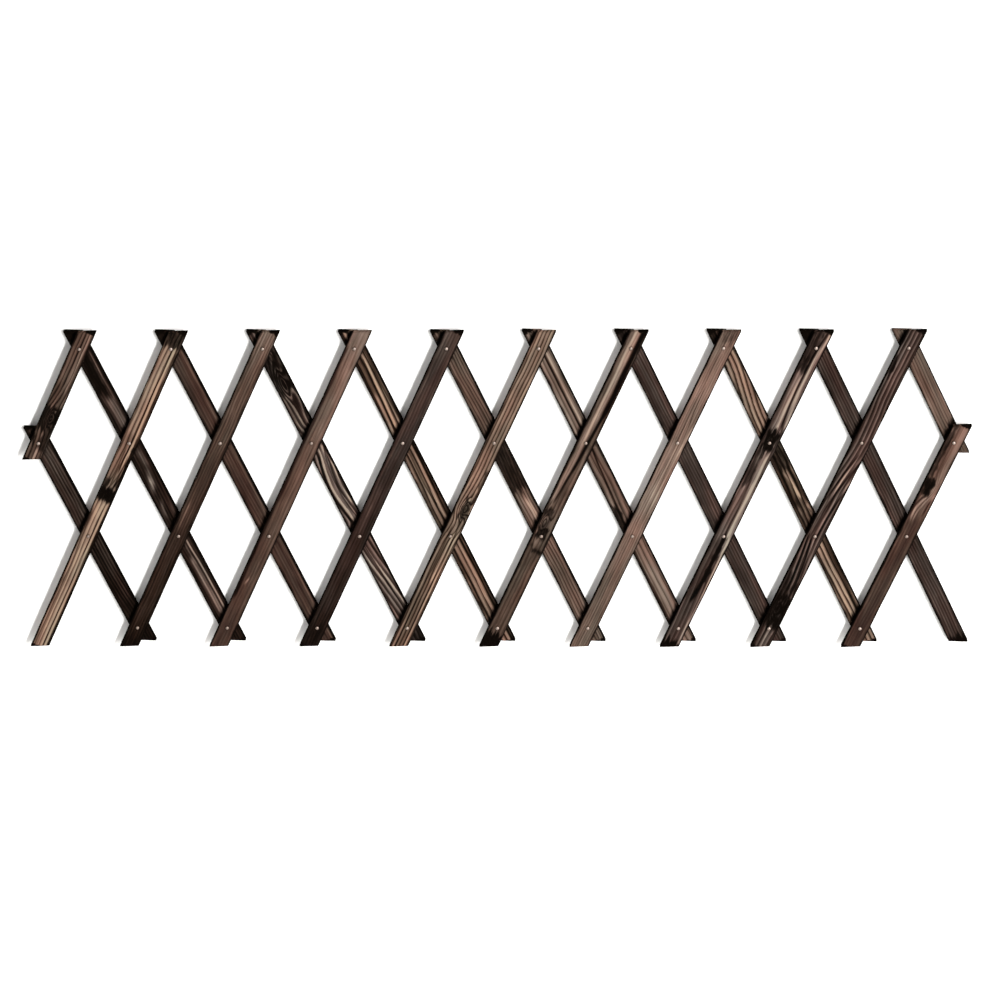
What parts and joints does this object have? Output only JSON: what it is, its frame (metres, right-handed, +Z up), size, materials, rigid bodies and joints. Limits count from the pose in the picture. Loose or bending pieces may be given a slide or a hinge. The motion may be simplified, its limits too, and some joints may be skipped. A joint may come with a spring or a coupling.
{
  "type": "expandable wooden trellis",
  "caption": "Concertina trellis of charred flat wooden slats in two crossing layers, riveted at every crossing, that pulls out into a lattice of diamonds for climbing plants.",
  "frame": {"origin": "on the wall plane, at the centre of the flat clinched end of the centre rivet", "axes": "+X along the trellis, to the right seen from the front; +Y into the wall; +Z up"},
  "size_m": [1.1759, 0.0228, 0.415],
  "materials": {
    "tan_wood": "charred and brushed, matt",
    "brown_wood": "charred and brushed, matt",
    "red_brown_wood": "charred and brushed, matt",
    "dark_wood": "charred and brushed, matt",
    "charred_wood": "charred and brushed, matt",
    "rivet_metal": "bright, slightly dull"
  },
  "bodies": {
    "centre_rivet": {"rivet_upper_06": "rivet_metal"},
    "front_slat_01": {"front_slat_01": "brown_wood", "rivet_top_01": "rivet_metal", "rivet_upper_01": "rivet_metal"},
    "front_slat_02": {"front_slat_02": "tan_wood", "rivet_top_02": "rivet_metal", "rivet_upper_02": "rivet_metal"},
    "front_slat_03": {"front_slat_03": "brown_wood", "rivet_bottom_01": "rivet_metal", "rivet_lower_02": "rivet_metal", "rivet_top_03": "rivet_metal", "rivet_upper_03": "rivet_metal"},
    "front_slat_04": {"front_slat_04": "red_brown_wood", "rivet_bottom_02": "rivet_metal", "rivet_lower_03": "rivet_metal", "rivet_top_04": "rivet_metal", "rivet_upper_04": "rivet_metal"},
    "front_slat_05": {"front_slat_05": "dark_wood", "rivet_bottom_03": "rivet_metal", "rivet_lower_04": "rivet_metal", "rivet_top_05": "rivet_metal", "rivet_upper_05": "rivet_metal"},
    "front_slat_06": {"front_slat_06": "tan_wood", "rivet_bottom_04": "rivet_metal", "rivet_lower_05": "rivet_metal", "rivet_top_06": "rivet_metal"},
    "front_slat_07": {"front_slat_07": "brown_wood", "rivet_bottom_05": "rivet_metal", "rivet_lower_06": "rivet_metal", "rivet_top_07": "rivet_metal", "rivet_upper_07": "rivet_metal"},
    "front_slat_08": {"front_slat_08": "brown_wood", "rivet_bottom_06": "rivet_metal", "rivet_lower_07": "rivet_metal", "rivet_top_08": "rivet_metal", "rivet_upper_08": "rivet_metal"},
    "front_slat_09": {"front_slat_09": "dark_wood", "rivet_bottom_07": "rivet_metal", "rivet_lower_08": "rivet_metal", "rivet_top_09": "rivet_metal", "rivet_upper_09": "rivet_metal"},
    "front_slat_10": {"front_slat_10": "dark_wood", "rivet_bottom_08": "rivet_metal", "rivet_lower_09": "rivet_metal", "rivet_top_10": "rivet_metal", "rivet_upper_10": "rivet_metal"},
    "front_slat_11": {"front_slat_11": "red_brown_wood", "rivet_bottom_09": "rivet_metal", "rivet_upper_11": "rivet_metal"},
    "back_slat_01": {"back_slat_01": "charred_wood"},
    "back_slat_02": {"back_slat_02": "charred_wood"},
    "back_slat_03": {"back_slat_03": "red_brown_wood"},
    "back_slat_04": {"back_slat_04": "dark_wood"},
    "back_slat_05": {"back_slat_05": "tan_wood"},
    "back_slat_06": {"back_slat_06": "brown_wood"},
    "back_slat_07": {"back_slat_07": "brown_wood"},
    "back_slat_08": {"back_slat_08": "dark_wood"},
    "back_slat_09": {"back_slat_09": "tan_wood"},
    "back_slat_10": {"back_slat_10": "dark_wood"},
    "back_slat_11": {"back_slat_11": "brown_wood"}
  },
  "joints": [
    {"name": "fold", "type": "hinge", "parent": "centre_rivet", "child": "front_slat_06", "pos_m": [0, 0, 0], "axis": [0, -1, 0], "range_deg": [-60.25, 19.75]},
    {"name": "back_slat_06_turn", "type": "hinge", "parent": "centre_rivet", "child": "back_slat_06", "pos_m": [0, 0, 0], "axis": [0, -1, 0], "range_deg": [-19.75, 60.25]},
    {"name": "front_slat_07_turn", "type": "hinge", "parent": "back_slat_06", "child": "front_slat_07", "pos_m": [0.05652, 0, -0.1226], "axis": [0, -1, 0], "range_deg": [-120.5, 39.5]},
    {"name": "back_slat_07_turn", "type": "hinge", "parent": "front_slat_06", "child": "back_slat_07", "pos_m": [0.05652, 0, 0.1226], "axis": [0, -1, 0], "range_deg": [-39.5, 120.5]},
    {"name": "front_slat_05_turn", "type": "hinge", "parent": "back_slat_06", "child": "front_slat_05", "pos_m": [-0.05652, 0, 0.1226], "axis": [0, -1, 0], "range_deg": [-120.5, 39.5]},
    {"name": "back_slat_05_turn", "type": "hinge", "parent": "front_slat_06", "child": "back_slat_05", "pos_m": [-0.05652, 0, -0.1226], "axis": [0, -1, 0], "range_deg": [-39.5, 120.5]},
    {"name": "front_slat_08_turn", "type": "hinge", "parent": "back_slat_06", "child": "front_slat_08", "pos_m": [0.11304, 0, -0.2452], "axis": [0, -1, 0], "range_deg": [-120.5, 39.5]},
    {"name": "back_slat_08_turn", "type": "hinge", "parent": "front_slat_07", "child": "back_slat_08", "pos_m": [0.16956, 0, 0.1226], "axis": [0, -1, 0], "range_deg": [-39.5, 120.5]},
    {"name": "front_slat_04_turn", "type": "hinge", "parent": "back_slat_05", "child": "front_slat_04", "pos_m": [-0.16956, 0, 0.1226], "axis": [0, -1, 0], "range_deg": [-120.5, 39.5]},
    {"name": "back_slat_04_turn", "type": "hinge", "parent": "front_slat_06", "child": "back_slat_04", "pos_m": [-0.11304, 0, -0.2452], "axis": [0, -1, 0], "range_deg": [-39.5, 120.5]},
    {"name": "front_slat_09_turn", "type": "hinge", "parent": "back_slat_07", "child": "front_slat_09", "pos_m": [0.22608, 0, -0.2452], "axis": [0, -1, 0], "range_deg": [-120.5, 39.5]},
    {"name": "back_slat_09_turn", "type": "hinge", "parent": "front_slat_08", "child": "back_slat_09", "pos_m": [0.2826, 0, 0.1226], "axis": [0, -1, 0], "range_deg": [-39.5, 120.5]},
    {"name": "front_slat_03_turn", "type": "hinge", "parent": "back_slat_04", "child": "front_slat_03", "pos_m": [-0.2826, 0, 0.1226], "axis": [0, -1, 0], "range_deg": [-120.5, 39.5]},
    {"name": "back_slat_03_turn", "type": "hinge", "parent": "front_slat_05", "child": "back_slat_03", "pos_m": [-0.22608, 0, -0.2452], "axis": [0, -1, 0], "range_deg": [-39.5, 120.5]},
    {"name": "front_slat_10_turn", "type": "hinge", "parent": "back_slat_08", "child": "front_slat_10", "pos_m": [0.33911, 0, -0.2452], "axis": [0, -1, 0], "range_deg": [-120.5, 39.5]},
    {"name": "back_slat_10_turn", "type": "hinge", "parent": "front_slat_09", "child": "back_slat_10", "pos_m": [0.39563, 0, 0.1226], "axis": [0, -1, 0], "range_deg": [-39.5, 120.5]},
    {"name": "front_slat_02_turn", "type": "hinge", "parent": "back_slat_03", "child": "front_slat_02", "pos_m": [-0.39563, 0, 0.1226], "axis": [0, -1, 0], "range_deg": [-120.5, 39.5]},
    {"name": "back_slat_02_turn", "type": "hinge", "parent": "front_slat_04", "child": "back_slat_02", "pos_m": [-0.33911, 0, -0.2452], "axis": [0, -1, 0], "range_deg": [-39.5, 120.5]},
    {"name": "front_slat_11_turn", "type": "hinge", "parent": "back_slat_09", "child": "front_slat_11", "pos_m": [0.45215, 0, -0.2452], "axis": [0, -1, 0], "range_deg": [-120.5, 39.5]},
    {"name": "back_slat_11_turn", "type": "hinge", "parent": "front_slat_10", "child": "back_slat_11", "pos_m": [0.50867, 0, 0.1226], "axis": [0, -1, 0], "range_deg": [-39.5, 120.5]},
    {"name": "front_slat_01_turn", "type": "hinge", "parent": "back_slat_02", "child": "front_slat_01", "pos_m": [-0.50867, 0, 0.1226], "axis": [0, -1, 0], "range_deg": [-120.5, 39.5]},
    {"name": "back_slat_01_turn", "type": "hinge", "parent": "front_slat_03", "child": "back_slat_01", "pos_m": [-0.45215, 0, -0.2452], "axis": [0, -1, 0], "range_deg": [-39.5, 120.5]}
  ],
  "couplings": [
    {"joint": "back_slat_06_turn", "follows": "fold", "ratio": -1},
    {"joint": "front_slat_07_turn", "follows": "fold", "ratio": 2},
    {"joint": "back_slat_07_turn", "follows": "fold", "ratio": -2},
    {"joint": "front_slat_05_turn", "follows": "fold", "ratio": 2},
    {"joint": "back_slat_05_turn", "follows": "fold", "ratio": -2},
    {"joint": "front_slat_08_turn", "follows": "fold", "ratio": 2},
    {"joint": "back_slat_08_turn", "follows": "fold", "ratio": -2},
    {"joint": "front_slat_04_turn", "follows": "fold", "ratio": 2},
    {"joint": "back_slat_04_turn", "follows": "fold", "ratio": -2},
    {"joint": "front_slat_09_turn", "follows": "fold", "ratio": 2},
    {"joint": "back_slat_09_turn", "follows": "fold", "ratio": -2},
    {"joint": "front_slat_03_turn", "follows": "fold", "ratio": 2},
    {"joint": "back_slat_03_turn", "follows": "fold", "ratio": -2},
    {"joint": "front_slat_10_turn", "follows": "fold", "ratio": 2},
    {"joint": "back_slat_10_turn", "follows": "fold", "ratio": -2},
    {"joint": "front_slat_02_turn", "follows": "fold", "ratio": 2},
    {"joint": "back_slat_02_turn", "follows": "fold", "ratio": -2},
    {"joint": "front_slat_11_turn", "follows": "fold", "ratio": 2},
    {"joint": "back_slat_11_turn", "follows": "fold", "ratio": -2},
    {"joint": "front_slat_01_turn", "follows": "fold", "ratio": 2},
    {"joint": "back_slat_01_turn", "follows": "fold", "ratio": -2}
  ]
}
